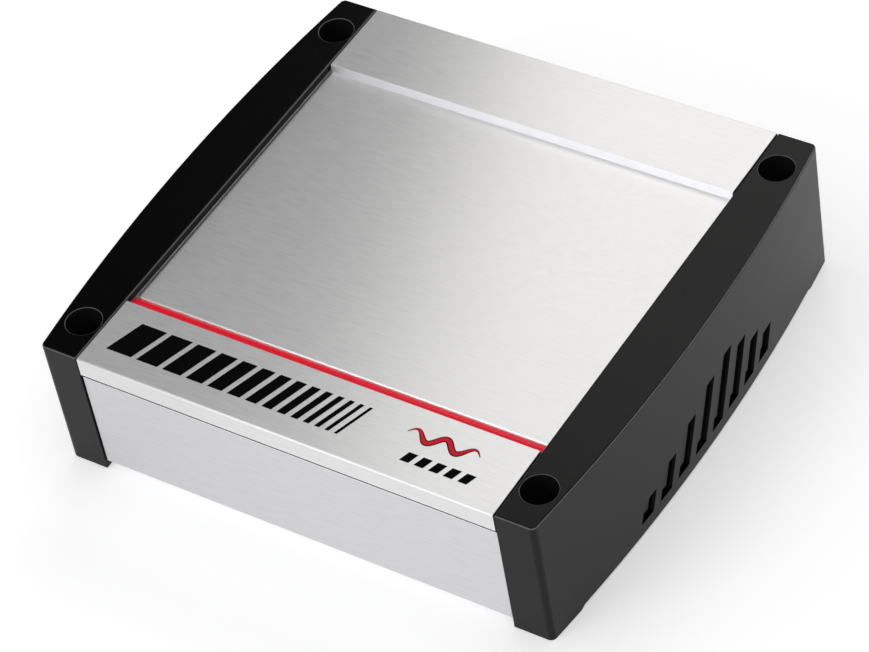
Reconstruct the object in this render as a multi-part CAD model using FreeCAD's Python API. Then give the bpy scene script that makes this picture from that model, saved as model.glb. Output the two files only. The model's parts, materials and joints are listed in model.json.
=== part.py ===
import FreeCAD, Part
import os
import math

os.makedirs("parts", exist_ok=True)
V = FreeCAD.Vector

# ---------------------------------------------------------------- frame
# Millimetres. +Z up, +X to the right seen from the front, +Y towards the
# connection side. Origin: centre of the footprint on the mounting surface.

# ---------------------------------------------------------------- driving dimensions
HEIGHT = 62.0            # overall height
HALF_DEPTH = 107.8       # half of the overall depth (215.6)
ALU_HALF = 92.4          # half of the visible extrusion width
CAP_IN = 92.9            # inner edge of an end cap
CAP_CORNER = 109.5       # half width at the four outer corners (before rounding)
CAP_MID = 116.3          # half width at the middle of the bowed side
CAP_WALL = 3.0           # moulded wall of an end cap
CAP_TOP = 2.5            # top plate of an end cap
CAP_CORNER_R = 2.5       # vertical corner radius
CAP_EDGE_R = 0.8         # top edge radius
RELIEF = 1.2             # underside between the feet stands this high
FOOT_Y = 90.5            # feet reach from here to the ends

WELL_X, WELL_Y = 101.45, 90.0     # mounting screw positions (202.9 x 180)
WELL_R = 7.2                      # screwdriver well
WELL_FLOOR = 10.0                 # screw head seat
MOUNT_HOLE_R = 2.75               # clearance hole for the mounting screw

RECESS = 3.2             # depth of the recessed top panel
STRIP_FRONT = -74.0      # rear edge of the front strip
STRIP_REAR = 71.7        # front edge of the rear strip
WALL_RUN = 1.35          # run of the steep faces beside the recess
END_BREAK = 0.25         # broken edge along the sawn ends of the extrusions
GROOVE = 1.1             # groove for the trim strip below the recess floor
GROOVE_END = -68.2       # rear edge of that groove
GROOVE_BREAK = 0.45      # bright broken edge behind the trim strip
LIP_BOTTOM = 53.2        # lower edge of the cover's front and rear lip
LIP_T = 3.5              # lip thickness
SEAM = 1.4               # open seam between lip and lower chassis

TRAY_Y = 107.1           # outer face of the lower chassis
TRAY_T = 3.0             # chassis wall and floor
TRAY_Z0 = 3.5            # underside of the chassis floor
TRAY_TOP = LIP_BOTTOM - SEAM

PANEL_Y0, PANEL_Y1 = 91.5, 93.0   # rear connection panel (set back under the cover)
PCB_Z0, PCB_T = 13.0, 1.6
PCB_Z1 = PCB_Z0 + PCB_T
PLATE_T = 0.8            # end plates

ROW_Z = 43.5             # centre height of knobs, switches and lamps
KNOB_X = {"gain": -34.0, "low_pass": -16.0, "bass_boost": 2.0}
TURN_ON_X, LEVEL_X = 21.0, 39.0
LED_X = {"power": 54.0, "protect": 62.0}

# ---------------------------------------------------------------- helpers
def box(x0, x1, y0, y1, z0, z1):
    return Part.makeBox(x1 - x0, y1 - y0, z1 - z0, V(x0, y0, z0))

def cyl(axis, c, a0, a1, r):
    d = {"x": V(1, 0, 0), "y": V(0, 1, 0), "z": V(0, 0, 1)}[axis]
    p = {"x": V(a0, c[0], c[1]), "y": V(c[0], a0, c[1]), "z": V(c[0], c[1], a0)}[axis]
    return Part.makeCylinder(r, a1 - a0, p, d)

def cone(axis, c, a0, a1, r0, r1):
    d = {"x": V(1, 0, 0), "y": V(0, 1, 0), "z": V(0, 0, 1)}[axis]
    p = {"x": V(a0, c[0], c[1]), "y": V(c[0], a0, c[1]), "z": V(c[0], c[1], a0)}[axis]
    return Part.makeCone(r0, r1, a1 - a0, p, d)

def fuse(parts):
    s = parts[0]
    for p in parts[1:]:
        s = s.fuse(p)
    return s.removeSplitter()

def cut(s, tools):
    for t in tools:
        s = s.cut(t)
    return s

def hexagon(c, z0, z1, af):
    r = af / math.sqrt(3.0)
    pts = [V(c[0] + r * math.cos(math.radians(60 * i + 30)),
             c[1] + r * math.sin(math.radians(60 * i + 30)), z0) for i in range(7)]
    return Part.Face(Part.makePolygon(pts)).extrude(V(0, 0, z1 - z0))

def prism_x(pts, x0, x1):
    w = Part.makePolygon([V(x0, y, z) for y, z in pts] + [V(x0, pts[0][0], pts[0][1])])
    return Part.Face(w).extrude(V(x1 - x0, 0, 0))

def fillet_where(s, r, test):
    edges = [e for e in s.Edges if test(e)]
    return s.makeFillet(r, edges) if edges else s

def along_x_at(pts, tol=0.01):
    def test(e):
        if len(e.Vertexes) != 2:
            return False
        a, b = e.Vertexes[0].Point, e.Vertexes[1].Point
        if abs(a.y - b.y) > tol or abs(a.z - b.z) > tol or abs(a.x - b.x) < 10:
            return False
        return any(abs(a.y - y) < tol and abs(a.z - z) < tol for y, z in pts)
    return test

def solids(s):
    return s.Solids if s.Solids else [s]

def save(name, *shapes):
    out = []
    for s in shapes:
        out += solids(s)
    for s in out:
        if not s.isValid():
            raise RuntimeError("invalid solid in " + name)
    shape = out[0] if len(out) == 1 else Part.makeCompound(out)
    shape.exportStep("parts/%s.step" % name)
    print("%-28s solids %2d volume %10.1f" % (name, len(out), sum(o.Volume for o in out)))
    return shape

def sawn_end_at(levels):
    # outer edges in the sawn end planes; levels are ("y", value) or ("z", value)
    def test(e):
        if len(e.Vertexes) != 2:
            return False
        p = [v.Point for v in e.Vertexes]
        if not all(abs(abs(q.x) - ALU_HALF) < 0.01 for q in p) or abs(p[0].x - p[1].x) > 0.01:
            return False
        return any(all(abs(getattr(q, ax) - val) < 0.01 for q in p) for ax, val in levels)
    return test

# ---------------------------------------------------------------- top cover
Z_FLOOR = HEIGHT - RECESS
SY = HALF_DEPTH
TU_S = HEIGHT - 3.0       # underside of the strips
TU_R = Z_FLOOR - 3.5      # underside of the recessed panel
prof = [
    (-SY, LIP_BOTTOM), (-SY, HEIGHT), (STRIP_FRONT, HEIGHT),
    (STRIP_FRONT + WALL_RUN + 0.46, Z_FLOOR - GROOVE), (GROOVE_END, Z_FLOOR - GROOVE),
    (GROOVE_END + 0.1, Z_FLOOR - GROOVE_BREAK), (GROOVE_END + 0.1 + GROOVE_BREAK, Z_FLOOR),
    (STRIP_REAR - WALL_RUN, Z_FLOOR), (STRIP_REAR, HEIGHT), (SY, HEIGHT), (SY, LIP_BOTTOM),
    (SY - LIP_T, LIP_BOTTOM), (SY - LIP_T, TU_S),
    (STRIP_REAR + 3.5, TU_S), (STRIP_REAR - 1.0, TU_R),
    (STRIP_FRONT + 3.0, TU_R), (STRIP_FRONT - 1.5, TU_S),
    (-SY + LIP_T, TU_S), (-SY + LIP_T, LIP_BOTTOM),
]
cover = prism_x(prof, -ALU_HALF, ALU_HALF)
cover = fillet_where(cover, 0.8, along_x_at([(-SY, HEIGHT), (SY, HEIGHT)]))
cover = fillet_where(cover, 0.35, along_x_at([(STRIP_FRONT, HEIGHT), (STRIP_REAR, HEIGHT)]))
cover = fillet_where(cover, 0.35, along_x_at([(-SY, LIP_BOTTOM), (SY, LIP_BOTTOM)]))
# tongue that locates the cover behind the front wall, and the groove for the rear panel
TONGUE = box(-ALU_HALF, ALU_HALF, -103.9, -102.4, 49.0, TU_S + 0.5)
RIB_A = box(-ALU_HALF, ALU_HALF, 89.9, 91.2, 55.0, TU_S + 0.5)
RIB_B = box(-ALU_HALF, ALU_HALF, 93.3, 94.6, 55.0, TU_S + 0.5)
PORT_Y, PORT_TOP_Z, PORT_LOW_Z = 76.5, 55.6, 9.6
ports_top = [box(-ALU_HALF, ALU_HALF, s * PORT_Y - 3.5, s * PORT_Y + 3.5, 52.1, TU_S + 0.5) for s in (-1, 1)]
cover = fuse([cover, TONGUE, RIB_A, RIB_B] + ports_top)
cover = cut(cover, [cyl("x", (s * PORT_Y, PORT_TOP_Z), x0, x0 + 14.0, 1.55)
                    for s in (-1, 1) for x0 in (-ALU_HALF, ALU_HALF - 14.0)])
cover = fillet_where(cover, END_BREAK, sawn_end_at([("z", HEIGHT), ("z", Z_FLOOR), ("y", -SY), ("y", SY)]))
save("top_cover", cover)

# trim strip lying in the groove at the foot of the front step: a low crowned bead
ty0, ty1 = STRIP_FRONT + WALL_RUN + 0.75, GROOVE_END - 0.25
tz0 = Z_FLOOR - GROOVE
TRIM_EDGE, TRIM_CROWN = 0.32, 0.82
tx0, tx1 = -ALU_HALF + 0.1, ALU_HALF - 0.1
a, m, b = V(tx0, ty0, tz0 + TRIM_EDGE), V(tx0, (ty0 + ty1) / 2, tz0 + TRIM_CROWN), V(tx0, ty1, tz0 + TRIM_EDGE)
c, d = V(tx0, ty1, tz0), V(tx0, ty0, tz0)
trim = Part.Face(Part.Wire([Part.Arc(a, m, b).toShape(), Part.LineSegment(b, c).toShape(),
                            Part.LineSegment(c, d).toShape(), Part.LineSegment(d, a).toShape()])).extrude(V(tx1 - tx0, 0, 0))
save("trim_strip", trim)

# ---------------------------------------------------------------- lower chassis
tray = prism_x([
    (-TRAY_Y, TRAY_Z0), (-TRAY_Y, TRAY_TOP), (-TRAY_Y + TRAY_T, TRAY_TOP),
    (-TRAY_Y + TRAY_T, TRAY_Z0 + TRAY_T), (TRAY_Y - TRAY_T, TRAY_Z0 + TRAY_T),
    (TRAY_Y - TRAY_T, 9.0), (TRAY_Y, 9.0), (TRAY_Y, TRAY_Z0)], -ALU_HALF, ALU_HALF)
tray = fillet_where(tray, 0.8, along_x_at([(-TRAY_Y, TRAY_Z0), (TRAY_Y, TRAY_Z0), (TRAY_Y, 9.0)]))
tray = fillet_where(tray, 0.45, along_x_at([(-TRAY_Y, TRAY_TOP)]))
low_ports = [box(-ALU_HALF, ALU_HALF, s * PORT_Y - 3.5, s * PORT_Y + 3.5, TRAY_Z0 + 2.0, 12.5) for s in (-1, 1)]
tray = fuse([tray] + low_ports)
STANDOFFS = [(sx * 78.0, y) for sx in (-1, 1) for y in (-90.0, 0.0, 60.0)]
CAP_SCREWS = [(sx * 87.5, y) for sx in (-1, 1) for y in (-62.0, 0.0, 62.0)]
PANEL_SCREWS = [(x, 86.5) for x in (-60.0, 0.0, 60.0)]
CLAMP_X = (-77.0, -21.0, 14.0, 63.0)
tools = [cyl("x", (s * PORT_Y, PORT_LOW_Z), x0, x0 + 14.0, 1.55)
         for s in (-1, 1) for x0 in (-ALU_HALF, ALU_HALF - 14.0)]
tools += [cyl("z", c, TRAY_Z0 - 1, TRAY_Z0 + TRAY_T + 1, 2.05) for c in STANDOFFS]
tools += [cyl("z", c, TRAY_Z0 - 1, TRAY_Z0 + TRAY_T + 1, 1.55) for c in CAP_SCREWS]
tools += [cyl("z", c, TRAY_Z0 - 1, TRAY_Z0 + TRAY_T + 1, 1.7) for c in PANEL_SCREWS]
tools += [cone("z", c, TRAY_Z0 - 0.01, TRAY_Z0 + 1.7, 3.1, 1.4) for c in PANEL_SCREWS]
tools += [cyl("y", (x, 26.0), -TRAY_Y + 1.2, -TRAY_Y + TRAY_T + 1, 1.55) for x in CLAMP_X]
tray = cut(tray, tools)
tray = fillet_where(tray, END_BREAK, sawn_end_at([("y", -TRAY_Y), ("y", TRAY_Y), ("z", TRAY_Z0)]))
save("lower_chassis", tray)

# ---------------------------------------------------------------- end caps
SAG = CAP_MID - CAP_CORNER
BOW_R = (HALF_DEPTH ** 2 + SAG ** 2) / (2.0 * SAG)
BOW_CX = CAP_MID - BOW_R

def cap_outline(z, inset=0.0, inner_x=CAP_IN):
    r = BOW_R - inset
    y = HALF_DEPTH - inset
    xc = BOW_CX + math.sqrt(r * r - y * y)
    a, b, m = V(xc, -y, z), V(xc, y, z), V(BOW_CX + r, 0, z)
    arc = Part.Arc(a, m, b).toShape()
    p0, p1 = V(inner_x, -y, z), V(inner_x, y, z)
    return Part.Wire([Part.LineSegment(p0, a).toShape(), arc,
                      Part.LineSegment(b, p1).toShape(), Part.LineSegment(p1, p0).toShape()])

def vertical_at(xmin):
    def test(e):
        if len(e.Vertexes) != 2:
            return False
        a, b = e.Vertexes[0].Point, e.Vertexes[1].Point
        return abs(a.x - b.x) < 0.01 and abs(a.y - b.y) < 0.01 and a.x > xmin and abs(a.z - b.z) > 10
    return test

def ledge_mark_bars():
    # row of slanted bars of stepped height, sunk into the bowed face
    bars = []
    z_low, slant = 6.5, 0.42
    heights = [9.0, 14.0, 20.0, 26.0, 29.0, 24.0, 17.0, 11.0]
    pitch, width, y = 13.0, 8.2, -50.0
    for h in heights:
        pts = [(y, z_low), (y + width, z_low), (y + width + h * slant, z_low + h), (y + h * slant, z_low + h)]
        bars.append(prism_x(pts, 100.0, 125.0))
        y += pitch
    return bars

def make_cap():
    body = Part.Face(cap_outline(0.0)).extrude(V(0, 0, HEIGHT))
    body = fillet_where(body, CAP_CORNER_R, vertical_at(105.0))
    def top_edge(e):
        return all(abs(v.Point.z - HEIGHT) < 0.01 for v in e.Vertexes)
    body = fillet_where(body, CAP_EDGE_R, top_edge)
    # hollow, open towards the chassis
    cav = Part.Face(cap_outline(4.0, CAP_WALL, CAP_IN - 5.0)).extrude(V(0, 0, HEIGHT - CAP_TOP - 4.0))
    cav = fillet_where(cav, 1.5, vertical_at(103.0))
    # towers round the mounting screws stay solid in the hollow
    keep = box(CAP_IN + PLATE_T + 0.1 - 0.4, 130.0, -120, 120, -1, HEIGHT + 1)
    for s in (-1, 1):
        tower = cyl("z", (WELL_X, s * WELL_Y), 0.0, HEIGHT, WELL_R + 1.8).common(keep)
        cav = cav.cut(tower)
    # ribs behind the bowed wall
    for y in (-60.0, -30.0, 0.0, 30.0, 60.0):
        cav = cav.cut(box(104.0, 125.0, y - 0.8, y + 0.8, 0, HEIGHT))
    body = body.cut(cav)
    # flange that runs under the chassis floor
    fl = box(81.5, CAP_IN + 4.0, -88.0, 88.0, RELIEF, TRAY_Z0)
    fl = fillet_where(fl, 2.0, lambda e: len(e.Vertexes) == 2 and e.Vertexes[0].Point.x < 82 and e.Vertexes[1].Point.x < 82
                      and abs(e.Vertexes[0].Point.z - e.Vertexes[1].Point.z) > 1)
    body = body.fuse(fl)
    # relief between the feet; a round pad stays under each mounting screw
    rel = prism_x([(-FOOT_Y, -0.5), (-FOOT_Y, 0.0), (-FOOT_Y + 2.4, RELIEF), (FOOT_Y - 2.4, RELIEF),
                   (FOOT_Y, 0.0), (FOOT_Y, -0.5)], 80.0, 130.0)
    for s in (-1, 1):
        pad = cyl("z", (WELL_X, s * WELL_Y), -1.0, RELIEF + 1.0, 8.2)
        rel = rel.cut(pad)
    body = body.cut(rel).removeSplitter()
    # wells and screw holes
    for s in (-1, 1):
        body = body.cut(cyl("z", (WELL_X, s * WELL_Y), WELL_FLOOR, HEIGHT + 1, WELL_R))
        body = body.cut(cyl("z", (WELL_X, s * WELL_Y), -1.0, WELL_FLOOR + 1, MOUNT_HOLE_R))
    def well_rim(e):
        c = getattr(e, "Curve", None)
        return (c is not None and c.TypeId == "Part::GeomCircle" and abs(c.Radius - WELL_R) < 0.01
                and abs(c.Center.z - HEIGHT) < 0.01)
    body = fillet_where(body, 0.45, well_rim)
    # sunk bars in the bowed face
    inner = Part.makeCylinder(BOW_R - 1.3, 80.0, V(BOW_CX, 0, -5), V(0, 0, 1))
    for b in ledge_mark_bars():
        body = body.cut(b.cut(inner))
    # countersunk holes for the cap screws
    for c in CAP_SCREWS:
        if c[0] > 0:
            body = body.cut(cyl("z", c, RELIEF - 1, TRAY_Z0 + 1, 1.6))
            body = body.cut(cone("z", c, RELIEF - 0.01, RELIEF + 1.75, 3.15, 1.4))
    return body

cap_r = make_cap()
cap_l = cap_r.mirror(V(0, 0, 0), V(1, 0, 0))
save("end_cap_right", cap_r)
save("end_cap_left", cap_l)

# cap screws: countersunk, driven up from below through the flange into the chassis floor
cs = []
for c in CAP_SCREWS:
    s = fuse([cone("z", c, RELIEF + 0.1, RELIEF + 1.6, 2.85, 1.45), cyl("z", c, RELIEF + 1.0, TRAY_Z0 + TRAY_T + 0.8, 1.5)])
    s = s.cut(box(c[0] - 0.35, c[0] + 0.35, c[1] - 1.6, c[1] + 1.6, RELIEF, RELIEF + 0.8))
    s = s.cut(box(c[0] - 1.6, c[0] + 1.6, c[1] - 0.35, c[1] + 0.35, RELIEF, RELIEF + 0.8))
    cs.append(s)
save("cap_screws", *cs)

# ---------------------------------------------------------------- end plates
PLATE_SCREWS = [(s * PORT_Y, z) for s in (-1, 1) for z in (PORT_LOW_Z, PORT_TOP_Z)]
def make_plate(x0, x1):
    p = box(x0, x1, -104.3, 104.3, 4.4, 59.2)
    return cut(p, [cyl("x", c, x0 - 1, x1 + 1, 1.7) for c in PLATE_SCREWS])
save("end_plate_right", make_plate(ALU_HALF, ALU_HALF + PLATE_T))
save("end_plate_left", make_plate(-ALU_HALF - PLATE_T, -ALU_HALF))
ps = []
for sgn in (-1, 1):
    for c in PLATE_SCREWS:
        a = sgn * (ALU_HALF + PLATE_T)
        h = sorted((a, a + sgn * 1.9))
        sh = sorted((a, a - sgn * 10.8))
        s = fuse([cyl("x", c, h[0], h[1], 2.8), cyl("x", c, sh[0], sh[1], 1.5)])
        g = sorted((a + sgn * 0.9, a + sgn * 2.5))
        s = s.cut(box(g[0], g[1], c[0] - 1.7, c[0] + 1.7, c[1] - 0.35, c[1] + 0.35))
        s = s.cut(box(g[0], g[1], c[0] - 0.35, c[0] + 0.35, c[1] - 1.7, c[1] + 1.7))
        ps.append(s)
save("end_plate_screws", *ps)

# ---------------------------------------------------------------- rear connection panel
FUSE_Z = (20.2, 29.6)
FUSE_X = 25.0
PT = (44.0, 86.0, 76.0, 106.0, PCB_Z1, 33.2)          # power terminal housing
ST = (-38.0, 6.0, 80.0, 106.0, PCB_Z1, 30.6)          # speaker terminal housing
FH = (12.0, 38.0, 78.0, 99.5, PCB_Z1, 35.0)           # fuse holder
RJ = (-58.0, -43.0, 80.0, 102.0, PCB_Z1, 28.6)        # remote control jack
RC = (-88.0, -60.5, 78.0, 95.2, PCB_Z1, 48.6)         # phono jack block

def grow(b, g):
    return box(b[0] - g, b[1] + g, PANEL_Y0 - 1, PANEL_Y1 + 1, b[4] - g, b[5] + g)

panel = box(-91.9, 91.9, PANEL_Y0, PANEL_Y1, TRAY_Z0 + TRAY_T, 58.6)
panel = fuse([panel, box(-91.9, 91.9, 82.0, PANEL_Y1, TRAY_Z0 + TRAY_T, TRAY_Z0 + TRAY_T + 1.5)])
panel = fillet_where(panel, 1.2, along_x_at([(PANEL_Y1, TRAY_Z0 + TRAY_T)]))
ptools = [grow(b, 0.3) for b in (PT, ST, FH, RJ, RC)]
ptools += [cyl("y", (x, ROW_Z), PANEL_Y0 - 1, PANEL_Y1 + 1, 5.2) for x in KNOB_X.values()]
ptools += [box(TURN_ON_X - 4.6, TURN_ON_X + 4.6, PANEL_Y0 - 1, PANEL_Y1 + 1, ROW_Z - 2.2, ROW_Z + 2.2)]
ptools += [box(LEVEL_X - 3.6, LEVEL_X + 3.6, PANEL_Y0 - 1, PANEL_Y1 + 1, ROW_Z - 2.2, ROW_Z + 2.2)]
ptools += [cyl("y", (x, ROW_Z), PANEL_Y0 - 1, PANEL_Y1 + 1, 1.65) for x in LED_X.values()]
ptools += [cyl("z", c, 5.0, 10.0, 1.55) for c in PANEL_SCREWS]
panel = cut(panel, ptools)
save("rear_panel", panel)
rs = []
for c in PANEL_SCREWS:
    s = fuse([cone("z", c, TRAY_Z0 + 0.1, TRAY_Z0 + 1.6, 2.8, 1.45), cyl("z", c, TRAY_Z0 + 1.0, 9.0, 1.5)])
    s = s.cut(box(c[0] - 0.35, c[0] + 0.35, c[1] - 1.6, c[1] + 1.6, TRAY_Z0, TRAY_Z0 + 0.9))
    s = s.cut(box(c[0] - 1.6, c[0] + 1.6, c[1] - 0.35, c[1] + 0.35, TRAY_Z0, TRAY_Z0 + 0.9))
    rs.append(s)
save("rear_panel_screws", *rs)

# ---------------------------------------------------------------- circuit board
board = box(-86.0, 86.0, -103.2, 91.0, PCB_Z0, PCB_Z1)
board = cut(board, [cyl("z", c, PCB_Z0 - 1, PCB_Z1 + 1, 1.6) for c in STANDOFFS])
save("circuit_board", board)
so, bs = [], []
for c in STANDOFFS:
    s = fuse([hexagon(c, TRAY_Z0 + TRAY_T, PCB_Z0, 6.0), cyl("z", c, TRAY_Z0 + 0.6, TRAY_Z0 + TRAY_T + 1, 2.0)])
    so.append(s.cut(cyl("z", c, TRAY_Z0 + TRAY_T + 0.5, PCB_Z0 + 1, 1.55)))
    h = fuse([cyl("z", c, PCB_Z1, PCB_Z1 + 1.9, 2.8), cyl("z", c, TRAY_Z0 + TRAY_T + 1.5, PCB_Z1 + 0.5, 1.5)])
    h = h.cut(box(c[0] - 0.35, c[0] + 0.35, c[1] - 1.7, c[1] + 1.7, PCB_Z1 + 1.0, PCB_Z1 + 3))
    h = h.cut(box(c[0] - 1.7, c[0] + 1.7, c[1] - 0.35, c[1] + 0.35, PCB_Z1 + 1.0, PCB_Z1 + 3))
    bs.append(h)
save("board_standoffs", *so)
save("board_screws", *bs)

# ---------------------------------------------------------------- wound parts
def toroid(c, z0, r_out, r_in, h, wrap):
    core = cyl("z", c, z0 + wrap, z0 + wrap + h, r_out).cut(cyl("z", c, z0, z0 + 2 * wrap + h, r_in))
    core = fillet_where(core, 1.0, lambda e: True)
    wind = cyl("z", c, z0, z0 + 2 * wrap + h, r_out + wrap).cut(cyl("z", c, z0 - 1, z0 + 2 * wrap + h + 1, r_in - wrap))
    wind = fillet_where(wind, wrap * 0.95, lambda e: isinstance(e.Curve, Part.Circle))
    gap = 0.05
    inner = cyl("z", c, z0 + wrap - gap, z0 + wrap + h + gap, r_out + gap).cut(cyl("z", c, z0, z0 + 2 * wrap + h, r_in - gap))
    wind = wind.cut(inner)
    # winding stops short of full circle, so the core shows and the turns can be put on
    wedge = Part.Face(Part.makePolygon([V(c[0], c[1], z0 - 1), V(c[0] + 60, c[1] - 9, z0 - 1),
                                        V(c[0] + 60, c[1] + 9, z0 - 1), V(c[0], c[1], z0 - 1)])).extrude(V(0, 0, h + 20))
    return core, wind.cut(wedge)

core, wind = toroid((50.0, 18.0), PCB_Z1, 22.0, 11.0, 19.0, 2.6)
save("power_transformer_core", core)
save("power_transformer_winding", wind)
core, wind = toroid((-52.0, -20.0), PCB_Z1, 18.0, 9.0, 14.0, 2.2)
save("output_choke_core", core)
save("output_choke_winding", wind)

# ---------------------------------------------------------------- capacitors
def can(c, r, h):
    s = cyl("z", c, PCB_Z1, PCB_Z1 + h, r)
    s = fillet_where(s, 0.9, lambda e: isinstance(e.Curve, Part.Circle))
    ring = cyl("z", c, PCB_Z1 + 2.6, PCB_Z1 + 3.6, r + 1).cut(cyl("z", c, PCB_Z1 + 2, PCB_Z1 + 5, r - 0.5))
    s = s.cut(ring)
    t = PCB_Z1 + h
    for a in (0, 60, 120):
        v = box(-r * 0.6, r * 0.6, -0.25, 0.25, t - 0.4, t + 1)
        v.rotate(V(0, 0, 0), V(0, 0, 1), a)
        v.translate(V(c[0], c[1], 0))
        s = s.cut(v)
    return s
save("rail_capacitors", *[can(c, 9.0, 36.0) for c in ((-12.0, 8.0), (-12.0, 30.0), (10.0, 8.0), (10.0, 30.0))])
save("input_capacitors", *[can(c, 8.0, 30.0) for c in ((48.0, 63.0), (66.0, 63.0))])

# ---------------------------------------------------------------- power transistors on the front wall
WALL_IN = -TRAY_Y + TRAY_T
save("insulating_pad", cut(box(-82.0, 68.0, WALL_IN, WALL_IN + 0.4, 17.0, 34.0),
                           [cyl("y", (x, 26.0), WALL_IN - 1, WALL_IN + 2, 1.8) for x in CLAMP_X]))
def to220(x):
    y0 = WALL_IN + 0.4
    tab = box(x - 5.1, x + 5.1, y0, y0 + 1.3, 18.5, 34.0)
    tab = tab.cut(cyl("y", (x, 31.2), y0 - 1, y0 + 3, 1.8))
    body = box(x - 5.1, x + 5.1, y0, y0 + 4.5, 18.5, 27.8)
    leads = [box(x + dx - 0.4, x + dx + 0.4, y0 + 2.2, y0 + 2.7, PCB_Z1, 18.7) for dx in (-2.54, 0, 2.54)]
    return fuse([tab, body] + leads)
save("power_transistors", *[to220(x) for x in (-68.0, -56.0, -44.0, -32.0, -10.0, 2.0)])
save("rectifier_diodes", *[to220(x) for x in (26.0, 38.0, 50.0)])
cy0 = WALL_IN + 0.4 + 4.5
clamp = box(-81.0, 67.0, cy0, cy0 + 2.0, 21.5, 30.5)
clamp = fuse([clamp, box(-81.0, 67.0, cy0, cy0 + 6.0, 29.0, 30.5)])
clamp = cut(clamp, [cyl("y", (x, 26.0), cy0 - 1, cy0 + 3, 1.7) for x in CLAMP_X])
save("transistor_clamp", clamp)
ks = []
for x in CLAMP_X:
    s = fuse([cyl("y", (x, 26.0), cy0 + 2.0, cy0 + 4.2, 2.7), cyl("y", (x, 26.0), -TRAY_Y + 1.6, cy0 + 2.5, 1.5)])
    s = s.cut(box(x - 1.6, x + 1.6, cy0 + 3.2, cy0 + 5, 25.65, 26.35))
    s = s.cut(box(x - 0.35, x + 0.35, cy0 + 3.2, cy0 + 5, 24.4, 27.6))
    ks.append(s)
save("clamp_screws", *ks)

# ---------------------------------------------------------------- control board behind the panel
CB_Y0, CB_Y1 = 80.1, 81.8
save("control_board", box(-43.0, 68.0, CB_Y0, CB_Y1, 36.0, 51.6))
pins = [box(-16.0 + 2.54 * i, -16.0 + 2.54 * i + 0.64, 79.1, 79.74, PCB_Z1, 38.5) for i in range(10)]
strip = box(-17.2, 8.2, 78.2, 79.85, PCB_Z1, PCB_Z1 + 2.5)
strip = cut(strip, [box(-16.0 + 2.54 * i - 0.03, -16.0 + 2.54 * i + 0.67, 79.07, 79.77, PCB_Z1 - 1, PCB_Z1 + 4) for i in range(10)])
save("header_strip", strip)
save("header_pins", *[p for p in pins])
def chip(x0, x1, y0, y1, h):
    b = box(x0, x1, y0, y1, PCB_Z1 + 0.15, PCB_Z1 + h)
    legs = []
    n = int((x1 - x0 - 1.0) / 2.0)
    for i in range(n):
        cx = x0 + 1.0 + 2.0 * i
        legs += [box(cx, cx + 0.7, y0 - 1.2, y0 + 0.3, PCB_Z1, PCB_Z1 + 0.5), box(cx, cx + 0.7, y1 - 0.3, y1 + 1.2, PCB_Z1, PCB_Z1 + 0.5)]
    return fuse([b] + legs)
save("control_chips", chip(-24, -10, 58, 65, 2.6), chip(-2, 12, 58, 65, 2.6), chip(-10, 8, -40, -32, 3.2), chip(-60, -46, 40, 47, 2.6))

# ---------------------------------------------------------------- power and speaker terminals
def terminal(hb, entries, bar, screw_r):
    """hb housing box; entries (x, hole r); bar (half width, y0, y1, z0, z1, hole z)"""
    hw, by0, by1, bz0, bz1, hz = bar
    h = box(*hb)
    h = fillet_where(h, 0.8, lambda e: len(e.Vertexes) == 2 and e.Vertexes[0].Point.y > hb[3] - 0.01 and e.Vertexes[1].Point.y > hb[3] - 0.01)
    bars, screws = [], []
    for x, r in entries:
        w = min(hw, r + 2.0)
        h = h.cut(box(x - w - 0.05, x + w + 0.05, by0 - 0.05, by1 + 0.05, bz0 - 0.05, bz1 + 0.05))
        h = h.cut(cyl("y", (x, hz), by1 - 0.5, hb[3] + 1, r + 0.35))
        h = h.cut(cyl("z", (x, (by0 + by1) / 2), bz1 - 0.5, hb[5] + 1, screw_r + 0.5))
        b = box(x - w, x + w, by0, by1, bz0, bz1)
        b = b.cut(cyl("y", (x, hz), by0 + 1.5, by1 + 1, r))
        b = b.cut(cyl("z", (x, (by0 + by1) / 2), hz, bz1 + 1, screw_r + 0.05))
        bars.append(b)
        zt = hz + r + 0.6
        s = cyl("z", (x, (by0 + by1) / 2), zt, bz1 + 0.6, screw_r)
        s = s.cut(hexagon((x, (by0 + by1) / 2), bz1 - 1.6, bz1 + 2, screw_r * 1.05))
        screws.append(s)
    # moulded barriers between the ways
    xs = [e[0] for e in entries]
    return h, bars, screws

PT_ENTRIES = [(77.5, 4.0), (63.5, 4.0), (51.0, 2.1)]
h, b, s = terminal(PT, PT_ENTRIES, (6.0, 90.5, 104.2, 16.6, 31.0, 22.4), 2.9)
save("power_terminal_housing", h)
save("power_terminal_blocks", *b)
save("power_set_screws", *s)
ST_ENTRIES = [(-31.75 + 10.5 * i, 2.7) for i in range(4)]
h, b, s = terminal(ST, ST_ENTRIES, (4.5, 92.0, 104.2, 16.4, 28.4, 21.4), 2.2)
save("speaker_terminal_housing", h)
save("speaker_terminal_blocks", *b)
save("speaker_set_screws", *s)

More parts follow.
